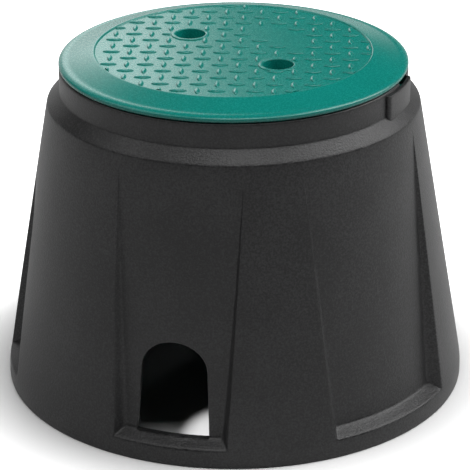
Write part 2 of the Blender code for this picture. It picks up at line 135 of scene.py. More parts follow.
def panel_depth(panel, azimuth, height, wall):
    """Depth of a recess below the land: the least of its floor, its ledge and its sloping side, all rounded
    into each other, and nothing outside its edge. The floor rises in a straight line to the land."""
    away = np.abs((azimuth - panel.azimuth + 180.0) % 360.0 - 180.0)
    inside = np.radians(panel_half_angle(panel, height) - away) * land_radius(height, 0.0)
    ledge_slope = PANEL_DEPTH / LEDGE_RISE
    floor = PANEL_DEPTH * (panel.fade_height - height) / (panel.fade_height - PANEL_FOOT_HEIGHT)
    ledge = ledge_slope * (height - LEDGE_HEIGHT) + wall * (math.hypot(1, ledge_slope) - 1)
    side = inside / SIDE_DRAFT + wall * (math.hypot(1, 1 / SIDE_DRAFT) - 1)
    room = np.clip(floor / PANEL_DEPTH, 0.0, 1.0)
    deep = soft_min(soft_min(floor, ledge, LEDGE_FILLET * room), side, SIDE_FILLET * room)
    return np.where(floor > 0.0, soft_max(deep, 0.0, EDGE_BLEND * room), 0.0)


def skin_radius(azimuth, height, wall):
    """Radius of the outer skin, or with a wall of the inner one: the land less the depth of each panel."""
    radius = land_radius(height, wall)
    for panel in PANELS:
        radius = radius - panel_depth(panel, azimuth, height, wall)
    return radius


def around(radius, azimuth, height):
    """Points at a radius, an azimuth in degrees from the front towards +X, and a height."""
    angle = np.radians(azimuth)
    return np.stack(np.broadcast_arrays(radius * np.sin(angle), -radius * np.cos(angle), height), -1)


def evenly_between(start, end, cell):
    """Columns between two others, in equal steps that are about one cell wide at the base."""
    count = max(6, int(round(np.radians(end[0] - start[0]) * BASE_RADIUS / cell)))
    return start + (end - start) * np.linspace(0, 1, count + 1)[1:-1, None]


def skin_columns(heights):
    """Azimuth of every column at every height, and the first and last column of each panel's floor.

    Columns crowd along the two edges of each panel and follow them, and the floors and lands between are
    split evenly.
    """
    outside = -FINE_OUTSIDE * np.linspace(1, 0, 6) ** FINE_OUTSIDE_POWER
    inside = FINE_INSIDE * np.linspace(0, 1, 13)[1:] ** FINE_INSIDE_POWER
    offsets = np.concatenate([outside, inside])[:, None]
    rim = land_radius(heights, 0.0)
    edges = []
    for panel in PANELS:
        half = panel_half_angle(panel, heights)
        room = np.minimum(1.0, FINE_ROOM * np.radians(half) * rim / FINE_INSIDE)
        steps = np.degrees(np.where(offsets > 0, offsets * room, offsets) / rim)
        edges.append((panel.azimuth - half + steps, (panel.azimuth + half - steps)[::-1]))
    columns = []
    floors = []
    for index, (left, right) in enumerate(edges):
        following = edges[index + 1][0][0] if index + 1 < len(edges) else edges[0][0][0] + 360.0
        floor = evenly_between(left[-1], right[0], FLOOR_CELL)
        land = evenly_between(right[-1], following, LAND_CELL)
        first = sum(len(group) for group in columns) + len(left) - 1
        floors.append((first, first + len(floor) + 1))
        columns += [left, floor, right, land]
    return np.concatenate(columns).T, floors


def stepped(*stops):
    """Heights between stops: each stop is a height and the number of steps that lead up to it."""
    heights = [np.array([stops[0][0]])]
    for (start, _), (end, count) in zip(stops, stops[1:]):
        heights.append(np.linspace(start, end, count + 1)[1:])
    return np.concatenate(heights)


def skin_rows():
    """Height of every row and how far it is set in, and how many rows are on the outer skin.

    The rows go up the outer skin, over the rim of the neck and down the inner skin. The edges at the base
    and at the rim are quarter circles.
    """
    wall_rows = stepped(
        (BASE_EDGE_ROUND, 0), (BASE_BAND_HEIGHT - FINE_BEND, 2), (ARCH_BLOCK_LOW, 4),
        (PANEL_FOOT_HEIGHT + 2 * FINE_BEND, 20), (FINE_LEDGE_TOP, 4), (ARCH_BLOCK_HIGH, 14),
        (PANEL_TOP_HEIGHT, 16), (SHOULDER_HEIGHT - FINE_BEND, 3), (SHOULDER_HEIGHT + FINE_BEND, 8),
        (NECK_FOOT_HEIGHT - FINE_BEND, 4), (NECK_FOOT_HEIGHT + FINE_BEND, 8),
        (SEAT_HEIGHT - NECK_EDGE_ROUND, 4))
    quarter = np.linspace(0, np.pi / 2, 5)
    inset = 1 - np.cos(quarter)
    drop = 1 - np.sin(quarter)
    upright = np.zeros(len(wall_rows))
    outer = [BASE_EDGE_ROUND * drop[:0:-1], wall_rows, SEAT_HEIGHT - NECK_EDGE_ROUND * drop[1:]]
    inner = [SEAT_HEIGHT - BORE_EDGE_ROUND * drop[::-1], wall_rows[::-1], BORE_EDGE_ROUND * drop]
    insets = [BASE_EDGE_ROUND * inset[:0:-1], upright, NECK_EDGE_ROUND * inset[1:],
              -BORE_EDGE_ROUND * inset[::-1], upright, -BORE_EDGE_ROUND * inset]
    return np.concatenate(outer + inner), np.concatenate(insets), sum(len(part) for part in outer)


def arch_outline(share, grow):
    """Points across and up on the outline of a pipe arch, by their share of the way round.

    The sill takes its share first. Then come a leg, the elliptical head and the other leg, spaced by
    their length. grow widens the outline on every side.
    """
    angle = np.linspace(0.0, np.pi, 65)
    head = np.stack([(ARCH_SPRING_WIDTH / 2 + grow) * np.cos(angle),
                     ARCH_SPRING_HEIGHT + (ARCH_RISE + grow) * np.sin(angle)], -1)
    foot = ARCH_FOOT_WIDTH / 2 + grow
    sill = ARCH_SILL_HEIGHT - grow
    path = np.concatenate([[(foot, sill)], head, [(-foot, sill)]])
    length = np.concatenate([[0.0], np.cumsum(np.linalg.norm(np.diff(path, axis=0), axis=1))])
    along = np.clip((share - SILL_SHARE) / (1 - SILL_SHARE), 0.0, 1.0) * length[-1]
    on_sill = share < SILL_SHARE
    across = np.where(on_sill, foot * (2 * share / SILL_SHARE - 1), np.interp(along, length, path[:, 0]))
    up = np.where(on_sill, sill, np.interp(along, length, path[:, 1]))
    return across, up


def arch_rings(azimuth, edge_azimuth, edge_height, share):
    """Rings of points from the edge of the gap in the outer skin, over the skin to the arch, through the wall
    and back over the inner skin. On a skin a ring lies part of the way from the gap's edge to the outline.
    Round the arch's two edges it follows a quarter circle, and between them it crosses the wall level."""
    def on_skin(across, up, wall):
        """How far out a skin lies at a place across and up. Its azimuth is found in two steps."""
        lean = np.degrees(np.arcsin(across / skin_radius(azimuth, up, wall)))
        radius = skin_radius(azimuth + lean, up, wall)
        lean = np.degrees(np.arcsin(across / radius))
        return np.sqrt(skin_radius(azimuth + lean, up, wall) ** 2 - across ** 2)

    edge_radius = skin_radius(edge_azimuth, edge_height, 0.0)
    edge_across = edge_radius * np.sin(np.radians(edge_azimuth - azimuth))
    grown_across, grown_up = arch_outline(share, ARCH_EDGE_ROUND)
    skins = {0.0: [], BODY_WALL: []}
    for wall, rings in skins.items():
        for part in 1 - (1 - np.linspace(0, 1, 11)[1:]) ** ARCH_RING_POWER:
            across = edge_across + (grown_across - edge_across) * part
            up = edge_height + (grown_up - edge_height) * part
            rings.append((across, on_skin(across, up, wall), up))
        for angle in np.radians((22.5, 45.0, 67.5, 90.0)):
            across, up = arch_outline(share, ARCH_EDGE_ROUND * (1 - math.sin(angle)))
            sunk = ARCH_EDGE_ROUND * (1 - math.cos(angle)) * (1 if wall == 0.0 else -1)
            rings.append((across, on_skin(across, up, wall) - sunk, up))
    turn = math.radians(azimuth)
    return [np.stack([out * math.sin(turn) + across * math.cos(turn),
                      across * math.sin(turn) - out * math.cos(turn), up], -1)
            for across, out, up in skins[0.0] + skins[BODY_WALL][::-1]]


def tube_faces(rows, columns, closed=False):
    """Quads between rows of a tube whose rows run anticlockwise seen from above. A closed tube also joins
    its last row to its first."""
    row, column = np.meshgrid(np.arange(rows if closed else rows - 1), np.arange(columns), indexing="ij")
    right = (column + 1) % columns
    above = (row + 1) % rows
    return np.stack([row * columns + column, row * columns + right,
                     above * columns + right, above * columns + column], -1)


def gap_edge(left, right, low, high, columns):
    """Indices of the points round a gap: along its low row, up its right side, back along its high row and
    down its left side. On the inner skin the low row comes after the high one."""
    step = 1 if high > low else -1
    across = np.arange(left, right)
    up = np.arange(low, high, step)
    return np.concatenate([low * columns + across, up * columns + right,
                           high * columns + across[::-1] + 1, (up[::-1] + step) * columns + left])


def edge_shares(azimuth, height, sill_count):
    """Share of the way round a gap at each point of its edge: the low row takes the sill's share, and the
    rest is spaced by its length."""
    edge = np.stack([np.radians(azimuth) * BASE_RADIUS, height], -1)
    steps = np.linalg.norm(np.roll(edge, -1, 0) - edge, axis=1)
    along = np.concatenate([[0], np.cumsum(steps[sill_count:-1])])
    sill = np.arange(sill_count) / sill_count * SILL_SHARE
    return np.concatenate([sill, SILL_SHARE + (1 - SILL_SHARE) * along / steps[sill_count:].sum()])


def body_skins():
    """Points and faces of the body: both skins as one closed tube of rows, with the two arch linings let
    in."""
    heights, insets, outer_count = skin_rows()
    azimuths, floors = skin_columns(heights)
    rows, columns = azimuths.shape
    level = heights[:, None] + 0 * azimuths
    outer = np.arange(rows)[:, None] < outer_count
    radius = np.where(outer, skin_radius(azimuths, level, 0.0), skin_radius(azimuths, level, BODY_WALL))
    points = [around(radius - insets[:, None], azimuths, level).reshape(-1, 3)]
    quads = tube_faces(rows, columns, closed=True)
    keep = np.ones((rows, columns), bool)
    faces = []
    count = rows * columns
    low, high = (int(np.argmin(np.abs(heights[:outer_count] - height)))
                 for height in (ARCH_BLOCK_LOW, ARCH_BLOCK_HIGH))
    inner_low, inner_high = (outer_count + int(np.argmin(np.abs(heights[outer_count:] - height)))
                             for height in (ARCH_BLOCK_LOW, ARCH_BLOCK_HIGH))
    for index in ARCH_PANELS:
        left, right = floors[index]
        keep[low:high, left:right] = False
        keep[inner_high:inner_low, left:right] = False
        outer_edge = gap_edge(left, right, low, high, columns)
        inner_edge = gap_edge(left, right, inner_low, inner_high, columns)
        edge_azimuth = azimuths.reshape(-1)[outer_edge]
        edge_height = level.reshape(-1)[outer_edge]
        share = edge_shares(edge_azimuth, edge_height, right - left)
        rings = arch_rings(PANELS[index].azimuth, edge_azimuth, edge_height, share)
        lining = count + np.arange(len(rings) * len(share)).reshape(len(rings), -1)
        loops = [outer_edge, *lining, inner_edge]
        faces += [np.stack([near, np.roll(near, -1), np.roll(far, -1), far], -1)
                  for near, far in zip(loops, loops[1:])]
        points += rings
        count += lining.size
    faces.append(quads[keep])
    return np.concatenate(points), np.concatenate(faces)


def new_piece(name, points, faces):
    """Mesh object at the origin from an array of points and a list of faces."""
    mesh = bpy.data.meshes.new(name)
    mesh.from_pydata(np.asarray(points).tolist(), [], [list(face) for face in faces])
    mesh.validate()
    piece = bpy.data.objects.new(name, mesh)
    bpy.context.scene.collection.objects.link(piece)
    return piece


def join_or_cut(piece, tools, operation):
    """Unite a piece with its tools, cut them out of it or keep what is inside them, and delete the tools."""
    for tool in tools:
        modifier = piece.modifiers.new(tool.name, "BOOLEAN")
        modifier.operation = operation
        modifier.solver = "EXACT"
        modifier.object = tool
    depsgraph = bpy.context.evaluated_depsgraph_get()
    solid = bpy.data.meshes.new_from_object(piece.evaluated_get(depsgraph))
    piece.modifiers.clear()
    piece.data = solid
    for tool in tools:
        bpy.data.objects.remove(tool)


def shade(piece):
    """Smooth shading, with edges over the sharp angle left sharp."""
    piece.data.shade_smooth()
    piece.data.set_sharp_from_angle(angle=math.radians(SHARP_ANGLE))


def linear(hex_text):
    """Linear colour of an sRGB hex value."""
    value = np.array([int(hex_text[k:k + 2], 16) for k in (1, 3, 5)]) / 255.0
    return (*np.where(value <= 0.04045, value / 12.92, ((value + 0.055) / 1.055) ** 2.4).tolist(), 1.0)


def add_node(owner, kind, settings, links):
    """One shader node of a material or the world. Settings are its properties or its inputs, by name or by
    place, and links feed its inputs."""
    node = owner.node_tree.nodes.new(kind)
    for name, value in settings.items():
        if isinstance(name, int) or name in node.inputs:
            node.inputs[name].default_value = value
        else:
            setattr(node, name, value)
    for name, source in links.items():
        owner.node_tree.links.new(source, node.inputs[name])
    return node


MOTTLE_WEIGHT = 0.35
DARK_END = 0.58
LIGHT_END = 0.85


def moulded_plastic(name, dark, light, roughness, ior, mottle_size, grain_size, grain_depth):
    """Moulded plastic: its tint goes from dark to light with the height of a fine grain plus a share of a
    slow mottle, its roughness goes with the grain, and the grain lifts the surface."""
    material = bpy.data.materials.new(name)
    material.use_nodes = True
    shader = material.node_tree.nodes["Principled BSDF"]
    shader.inputs["IOR"].default_value = ior
    place = add_node(material, "ShaderNodeTexCoord", {}, {}).outputs["Object"]
    mottle = add_node(material, "ShaderNodeTexNoise", {"Scale": 1 / mottle_size, "Detail": 3.0},
                      {"Vector": place})
    grain = add_node(material, "ShaderNodeTexNoise",
                     {"Scale": 1 / grain_size, "Detail": 2.0, "Roughness": 0.6}, {"Vector": place})
    blend = add_node(material, "ShaderNodeMath", {"operation": "MULTIPLY_ADD", 1: MOTTLE_WEIGHT},
                     {0: mottle.outputs["Fac"], 2: grain.outputs["Fac"]})
    ramp = add_node(material, "ShaderNodeMapRange", {"From Min": DARK_END, "From Max": LIGHT_END},
                    {"Value": blend.outputs["Value"]})
    tint = add_node(material, "ShaderNodeMix", {"data_type": "RGBA", 6: linear(dark), 7: linear(light)},
                    {0: ramp.outputs["Result"]})
    gloss = add_node(material, "ShaderNodeMapRange", {"To Min": roughness[0], "To Max": roughness[1]},
                     {"Value": grain.outputs["Fac"]})
    bump = add_node(material, "ShaderNodeBump", {"Strength": 1.0, "Distance": grain_depth},
                    {"Height": grain.outputs["Fac"]})
    links = material.node_tree.links
    links.new(tint.outputs[2], shader.inputs["Base Color"])
    links.new(gloss.outputs["Result"], shader.inputs["Roughness"])
    links.new(bump.outputs["Normal"], shader.inputs["Normal"])
    return material


moulded_body = new_piece("moulded_body", *body_skins())

# Lock bosses
# Two thickenings of the neck, moulded with the body, that hide the pockets of the twist lock. One half of
# each pocket is open at the top, where a lug of the lid drops in, and the other half has a roof that holds
# the lug once the lid is turned.
SPIGOT_GAP = 0.0008
SPIGOT_WALL = 0.0025
SPIGOT_RADIUS = NECK_RADIUS - BODY_WALL - SPIGOT_GAP
SPIGOT_BORE = SPIGOT_RADIUS - SPIGOT_WALL
LUG_REACH = 0.0045
LUG_THICKNESS = 0.0038
LUG_TIP_GAP = 0.0006
LUG_ROOF_GAP = 0.0008
LUG_FLOOR_GAP = 0.0012
LUG_RADIUS = SPIGOT_RADIUS + LUG_REACH
POCKET_RADIUS = LUG_RADIUS + LUG_TIP_GAP
POCKET_HALF_ANGLE = 9.4
POCKET_WALL = 0.0027
BOSS_AZIMUTH = 68.0
BOSS_HALF_ANGLE = 10.5
BOSS_RADIUS = POCKET_RADIUS + POCKET_WALL
BOSS_BACK_RADIUS = NECK_RADIUS - BODY_WALL / 4
BOSS_FOOT_HEIGHT = NECK_FOOT_HEIGHT + NECK_RADIUS - BOSS_RADIUS - BODY_WALL / 3
BOSS_TOP_DROP = 0.0022
BOSS_TOP_HEIGHT = SEAT_HEIGHT - BOSS_TOP_DROP
BOSS_TOP_ROUND = 0.0010
BOSS_SIDE_ROUND = 0.0024
ROOF_THICKNESS = 0.0045
ROOF_HEIGHT = BOSS_TOP_HEIGHT - ROOF_THICKNESS
LUG_TOP_HEIGHT = ROOF_HEIGHT - LUG_ROOF_GAP
LUG_FOOT_HEIGHT = LUG_TOP_HEIGHT - LUG_THICKNESS
POCKET_FLOOR_HEIGHT = LUG_FOOT_HEIGHT - LUG_FLOOR_GAP


def crowded(low, high, rounding, steps):
    """Positions from low to high in even steps, which crowd at both ends as a quarter circle's do."""
    quarter = rounding * (1 - np.cos(np.linspace(0, np.pi / 2, 5)))
    middle = np.linspace(low + rounding, high - rounding, steps + 1)[1:-1]
    return np.concatenate([low + quarter, middle, high - quarter[::-1]])


def edge_drop(position, rounding):
    """How far a face falls towards its two ends: a quarter circle of the rounding."""
    distance = np.minimum(position - position[0], position[-1] - position) / rounding
    return rounding * (1 - np.sqrt(1 - (1 - np.clip(distance, 0, 1)) ** 2))


def curved_block(name, azimuths, heights, front, back):
    """Block bent round the axis: a grid of azimuth and height at the front radius, the same grid at the back
    radius, and a strip of quads all round between them."""
    grid = np.meshgrid(azimuths, heights)
    points = np.concatenate([around(radius + 0 * grid[0], *grid).reshape(-1, 3) for radius in (front, back)])
    count = grid[0].size
    index = np.arange(count).reshape(len(heights), len(azimuths))
    cells = np.stack([index[:-1, :-1], index[:-1, 1:], index[1:, 1:], index[1:, :-1]], -1).reshape(-1, 4)
    rim = np.concatenate([index[0, :-1], index[:-1, -1], index[-1, :0:-1], index[:0:-1, 0]])
    strip = np.stack([rim + count, np.roll(rim, -1) + count, np.roll(rim, -1), rim], -1)
    return new_piece(name, points, np.concatenate([cells, cells[:, ::-1] + count, strip]))


half_width = math.radians(BOSS_HALF_ANGLE) * BOSS_RADIUS
spread = crowded(-half_width, half_width, BOSS_SIDE_ROUND, 20)
rise = crowded(BOSS_FOOT_HEIGHT, BOSS_TOP_HEIGHT, BOSS_TOP_ROUND, 8)
fall = np.maximum(edge_drop(spread, BOSS_SIDE_ROUND)[None, :], edge_drop(rise, BOSS_TOP_ROUND)[:, None])
pocket_heights = np.array([POCKET_FLOOR_HEIGHT, ROOF_HEIGHT])
mouth_heights = np.array([(POCKET_FLOOR_HEIGHT + ROOF_HEIGHT) / 2, SEAT_HEIGHT + BODY_WALL])
for turn in HALF_TURNS:
    middle = BOSS_AZIMUTH + turn
    boss = curved_block("boss", middle + np.degrees(spread / BOSS_RADIUS), rise, BOSS_RADIUS - fall,
                        BOSS_BACK_RADIUS)
    join_or_cut(moulded_body, [boss], "UNION")
    pocket = curved_block("pocket", middle + np.linspace(-POCKET_HALF_ANGLE, POCKET_HALF_ANGLE, 25),
                          pocket_heights, POCKET_RADIUS, SPIGOT_BORE)
    mouth = curved_block("mouth", middle + np.linspace(0, POCKET_HALF_ANGLE, 13), mouth_heights,
                         POCKET_RADIUS, SPIGOT_BORE)
    join_or_cut(moulded_body, [pocket, mouth], "DIFFERENCE")
# The plastic came from a spark-eroded mould: satin, with a fine grain all over and faint flow marks. The real
# grain is finer than the render can show, so it is drawn as coarse as it needs to be seen.
black_polyethylene = moulded_plastic("black_polyethylene", "#040405", "#363637", roughness=(0.34, 0.54),
                                     ior=1.5, mottle_size=0.05, grain_size=0.0014, grain_depth=0.00028)
moulded_body.data.materials.append(black_polyethylene)
shade(moulded_body)
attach(moulded_body, "body")
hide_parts("valve_box_body")

# Lid
# One moulding in green polypropylene: a crowned disc with a flat tread field, a rolled lip that covers the
# top of the neck, and a spigot with two lugs that drops inside it. Ribs stiffen it from below.
lid_low, lid_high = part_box("twist_lock_lid")
# The lid is made with its seat on the neck at height 0, and is lifted into place when it is whole.
LID_GAP = 0.0003
LID_SEAT_HEIGHT = SEAT_HEIGHT + LID_GAP
CROWN_HEIGHT = lid_high.z - LID_SEAT_HEIGHT
LID_RADIUS = lid_high.x
SPIGOT_FOOT = lid_low.z - LID_SEAT_HEIGHT
SPIGOT_ROUND = 0.0006
SPIGOT_MIDDLE_RADIUS = (SPIGOT_BORE + SPIGOT_RADIUS) / 2
LID_WALL = 0.0034
LIP_UNDER_WIDTH = 0.0018
LIP_UNDER_HEIGHT = 0.0014
LIP_EDGE_HEIGHT = 0.0008
LIP_ROUND_WIDTH = 0.0060
LIP_ROUND_HEIGHT = 0.0026
BAND_WIDTH = 0.0265
FIELD_RADIUS = LID_RADIUS - BAND_WIDTH
FIELD_STEP_RUN = 0.0008
FIELD_DROP = 0.0010
FIELD_HEIGHT = CROWN_HEIGHT - FIELD_DROP
CREST_RUN = 0.0009
CREST_FALL = 0.00025
CREST_BEND = (-0.0003, 0.0001)
LUG_AZIMUTH = BOSS_AZIMUTH + POCKET_HALF_ANGLE / 2
LUG_HALF_ANGLE = 3.8
RIB_COUNT = 8
RIB_THICKNESS = 0.002
RIB_FOOT = -0.0016
RIB_END_HEIGHT = 0.0035
RING_RIB_FOOT = -0.0008
RING_RIB_TOP = FIELD_HEIGHT - LID_WALL / 3
RING_RIB_INSET = 0.026
RING_RIB_RADIUS = FIELD_RADIUS - RING_RIB_INSET
HUB_RIB_RADIUS = 0.015
HOLE_AZIMUTH = 43.0
HOLE_PITCH_RADIUS = 0.0461
HOLE_RADIUS = 0.011
SLEEVE_WALL = 0.003
SLEEVE_RADIUS = HOLE_RADIUS + SLEEVE_WALL
SLEEVE_FOOT = -0.0024
COLLAR_HEIGHT = 0.0007
COLLAR_TOP = FIELD_HEIGHT + COLLAR_HEIGHT
COLLAR_ROUND = 0.0006


def arc(centre, radii, start, end, steps):
    """Points of an elliptical arc between two angles in degrees, as radius and height."""
    angle = np.radians(np.linspace(start, end, steps + 1))
    return np.stack([centre[0] + radii[0] * np.cos(angle), centre[1] + radii[1] * np.sin(angle)], -1)


def ring_stacks(name, points, rows, columns):
    """Like solids as one piece, each a stack of rings. Quads join the rings, and a flat cap closes each
    end."""
    starts = np.arange(0, len(points), rows * columns)
    sides = tube_faces(rows, columns).reshape(-1, 4) + starts[:, None, None]
    ring = np.arange(columns)
    last = (rows - 1) * columns
    caps = [cap.tolist() for start in starts for cap in (start + ring[::-1], start + last + ring)]
    return new_piece(name, points, sides.reshape(-1, 4).tolist() + caps)


def turned(name, profile, segments, axis=(0.0, 0.0), hollow=False):
    """Solid turned about an upright axis: each point of the profile becomes a ring, from the lowest inner one
    round the outside to the highest. Flat caps close its two ends, or a hollow one's profile runs right
    round its section."""
    profile = np.asarray(profile)
    azimuth = np.arange(segments) * 360.0 / segments
    rings = around(profile[:, :1], azimuth[None, :], profile[:, 1:]) + np.array([axis[0], axis[1], 0.0])
    points = rings.reshape(-1, 3)
    if hollow:
        return new_piece(name, points, tube_faces(len(profile), segments, closed=True).reshape(-1, 4))
    return ring_stacks(name, points, len(profile), segments)


def lid_profile():
    """Section of the lid from the underside of its plate, down and up the spigot, out under the lip and back
    over it, up the cone of the band to the crest and down the small step to the tread field. The crest is
    rounded by a curve that is drawn towards one control point."""
    lip_edge = LIP_UNDER_HEIGHT + LIP_EDGE_HEIGHT
    band_foot = LID_RADIUS - LIP_ROUND_WIDTH, lip_edge + LIP_ROUND_HEIGHT
    crest = FIELD_RADIUS + FIELD_STEP_RUN, CROWN_HEIGHT
    slope = (crest[1] - band_foot[1]) / (crest[0] - band_foot[0])
    under = band_foot[1] + slope * (SPIGOT_BORE - band_foot[0]) - LID_WALL
    band = np.array(band_foot) + np.linspace(0, 1, 10)[:, None] * (np.array(crest) - band_foot)
    band[-1] = crest[0] + CREST_RUN, crest[1] - CREST_FALL
    bend = np.linspace(0, 1, 6)[1:, None]
    control = np.array(crest) + CREST_BEND
    step_foot = np.array([FIELD_RADIUS, FIELD_HEIGHT])
    top = (1 - bend) ** 2 * band[-1] + 2 * bend * (1 - bend) * control + bend ** 2 * step_foot
    foot_radii = (SPIGOT_ROUND, SPIGOT_ROUND)
    foot_centre = SPIGOT_FOOT + SPIGOT_ROUND
    return np.concatenate([
        [(FIELD_RADIUS, FIELD_HEIGHT - LID_WALL), (SPIGOT_BORE, under)],
        arc((SPIGOT_BORE + SPIGOT_ROUND, foot_centre), foot_radii, 180, 270, 3),
        arc((SPIGOT_RADIUS - SPIGOT_ROUND, foot_centre), foot_radii, 270, 360, 3),
        [(SPIGOT_RADIUS, 0.0)],
        arc((LID_RADIUS - LIP_UNDER_WIDTH, LIP_UNDER_HEIGHT), (LIP_UNDER_WIDTH, LIP_UNDER_HEIGHT),
            270, 360, 7),
        arc((band_foot[0], lip_edge), (LIP_ROUND_WIDTH, LIP_ROUND_HEIGHT), 0, 90, 14),
        band[1:], top])


def radial_ribs():
    """The radial ribs as one mesh: a side outline from the hub to the spigot, given its thickness."""
    in_plate = FIELD_HEIGHT - LID_WALL / 2
    out, up = np.array([(HUB_RIB_RADIUS, RIB_FOOT), (SPIGOT_MIDDLE_RADIUS, RIB_FOOT),
                        (SPIGOT_MIDDLE_RADIUS, RIB_END_HEIGHT), (FIELD_RADIUS, in_plate),
                        (HUB_RIB_RADIUS, in_plate)]).T
    angle = np.radians(HOLE_AZIMUTH + 360.0 * (np.arange(RIB_COUNT) + 0.5) / RIB_COUNT)[:, None, None]
    across = np.array([RIB_THICKNESS / 2, -RIB_THICKNESS / 2])[:, None]
    points = np.stack(np.broadcast_arrays(out * np.sin(angle) + across * np.cos(angle),
                                          across * np.sin(angle) - out * np.cos(angle), up), -1)
    return ring_stacks("ribs", points.reshape(-1, 3), 2, len(out))


lid = turned("tread_lid", lid_profile(), 288)
added = [radial_ribs()]
for radius in (RING_RIB_RADIUS, HUB_RIB_RADIUS):
    inner = radius - RIB_THICKNESS / 2
    outer = radius + RIB_THICKNESS / 2
    section = [(inner, RING_RIB_FOOT), (outer, RING_RIB_FOOT), (outer, RING_RIB_TOP), (inner, RING_RIB_TOP)]
    added.append(turned("ring_rib", section, 96, hollow=True))
hole_places = [around(HOLE_PITCH_RADIUS, HOLE_AZIMUTH + turn, 0.0)[:2] for turn in HALF_TURNS]
sleeve = np.concatenate([
    [(SLEEVE_RADIUS, SLEEVE_FOOT)],
    arc((SLEEVE_RADIUS - COLLAR_ROUND, COLLAR_TOP - COLLAR_ROUND), (COLLAR_ROUND, COLLAR_ROUND), 0, 90, 4)])
added += [turned("sleeve", sleeve, 64, place) for place in hole_places]
lug_heights = np.array([LUG_FOOT_HEIGHT, LUG_TOP_HEIGHT]) - LID_SEAT_HEIGHT
for turn in HALF_TURNS:
    lug_azimuths = LUG_AZIMUTH + turn + np.linspace(-LUG_HALF_ANGLE, LUG_HALF_ANGLE, 9)
    added.append(curved_block("lug", lug_azimuths, lug_heights, LUG_RADIUS, SPIGOT_MIDDLE_RADIUS))
join_or_cut(lid, added, "UNION")

# Tread bars
# Low lens-shaped bars moulded on the lid for grip, on a square lattice whose bars lie along its rows and
# columns by turns. They leave a plain oval, and the rim of the field and the two collars cut them off.
TREAD_PITCH = 0.0132
TREAD_TURN = -2.5
TREAD_OFFSET = (0.0051, 0.0056)
BAR_LENGTH = 0.0122
BAR_WIDTH = 0.0038
BAR_HEIGHT = 0.0010
BAR_ROOT = 0.0004
# Rings of the bar's round top: the share by which each one shrinks, and its share of the bar's height.
BAR_TOP_RINGS = ((0.0, 0.25), (0.14, 0.62), (0.36, 0.88), (0.66, 1.0))
BAR_MARGIN = 0.0005
PLAIN_AZIMUTH = 126.0
PLAIN_RADIUS = 0.044
PLAIN_HALF_LENGTH = 0.029
PLAIN_HALF_WIDTH = 0.012


def bar_places():
    """Centres and angles of the bars with some of their length in the field, clear of the plain oval."""
    reach = int(FIELD_RADIUS / TREAD_PITCH) + 2
    row, column = np.meshgrid(np.arange(-reach, reach + 1), np.arange(-reach, reach + 1), indexing="ij")
    turn = math.radians(TREAD_TURN)
    across = column.ravel() * TREAD_PITCH + TREAD_OFFSET[0]
    up = row.ravel() * TREAD_PITCH + TREAD_OFFSET[1]
    centre = np.stack([across * math.cos(turn) - up * math.sin(turn),
                       across * math.sin(turn) + up * math.cos(turn)], -1)
    angle = turn + np.pi / 2 * ((row + column).ravel() % 2)
    keep = np.linalg.norm(centre, axis=1) <= FIELD_RADIUS
    for place in hole_places:
        keep &= np.linalg.norm(centre - place, axis=1) >= SLEEVE_RADIUS
    out = around(1.0, PLAIN_AZIMUTH, 0.0)[:2]
    outwards = centre @ out - PLAIN_RADIUS
    along = centre @ np.array([-out[1], out[0]])
    keep &= np.hypot(along / PLAIN_HALF_LENGTH, outwards / PLAIN_HALF_WIDTH) > 1.0
    return centre[keep], angle[keep]


def tread_bars():
    """All bars as one mesh. Each is a stack of rings of a lens outline, whose half width is its greatest one
    times 1 - u^2 at the share u of its half length. The rings shrink inwards as the bar's round top rises."""
    centre, angle = bar_places()
    share = np.concatenate([np.linspace(1, -1, 9)[:-1], np.linspace(-1, 1, 9)[:-1]])
    side = np.concatenate([np.ones(8), -np.ones(8)])
    half_length = BAR_LENGTH / 2
    half_width = BAR_WIDTH / 2
    levels = [(0.0, -BAR_ROOT)] + [(shrink, part * BAR_HEIGHT) for shrink, part in BAR_TOP_RINGS]
    shrink, height = np.hsplit(np.array(levels), 2)
    x = share * (half_length - 2 * half_width * shrink)
    y = side * half_width * (1 - share ** 2) * (1 - shrink)
    cosine = np.cos(angle)[:, None, None]
    sine = np.sin(angle)[:, None, None]
    points = np.stack(np.broadcast_arrays(centre[:, :1, None] + x * cosine - y * sine,
                                          centre[:, 1:, None] + x * sine + y * cosine,
                                          FIELD_HEIGHT + height), -1)
    return ring_stacks("bars", points.reshape(-1, 3), len(levels), len(share))


bars = tread_bars()
below = FIELD_HEIGHT - LID_WALL
above = CROWN_HEIGHT + LID_WALL
field_limit = FIELD_RADIUS - BAR_MARGIN
collar_limit = SLEEVE_RADIUS + BAR_MARGIN
join_or_cut(bars, [turned("limit", [(field_limit, below), (field_limit, above)], 180)], "INTERSECT")
join_or_cut(bars, [turned("clear", [(collar_limit, below), (collar_limit, above)], 64, place)
                   for place in hole_places], "DIFFERENCE")
join_or_cut(lid, [bars], "UNION")
flared_radius = HOLE_RADIUS + COLLAR_ROUND
bore = np.concatenate([
    [(HOLE_RADIUS, SLEEVE_FOOT - LID_WALL)],
    arc((flared_radius, COLLAR_TOP - COLLAR_ROUND), (COLLAR_ROUND, COLLAR_ROUND), 180, 90, 4),
    [(flared_radius, above)]])
join_or_cut(lid, [turned("bore", bore, 64, place) for place in hole_places], "DIFFERENCE")
lid.data.transform(Matrix.Translation((0.0, 0.0, LID_SEAT_HEIGHT)))
# The plastic came from a polished mould: a soft gloss over a very fine grain, drawn as coarse as the body's.
green_polypropylene = moulded_plastic("green_polypropylene", "#068277", "#0a8e83", roughness=(0.23, 0.31),
                                      ior=1.49, mottle_size=0.06, grain_size=0.0011, grain_depth=0.00003)
lid.data.materials.append(green_polypropylene)
shade(lid)
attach(lid, "lid")
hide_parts("twist_lock_lid")

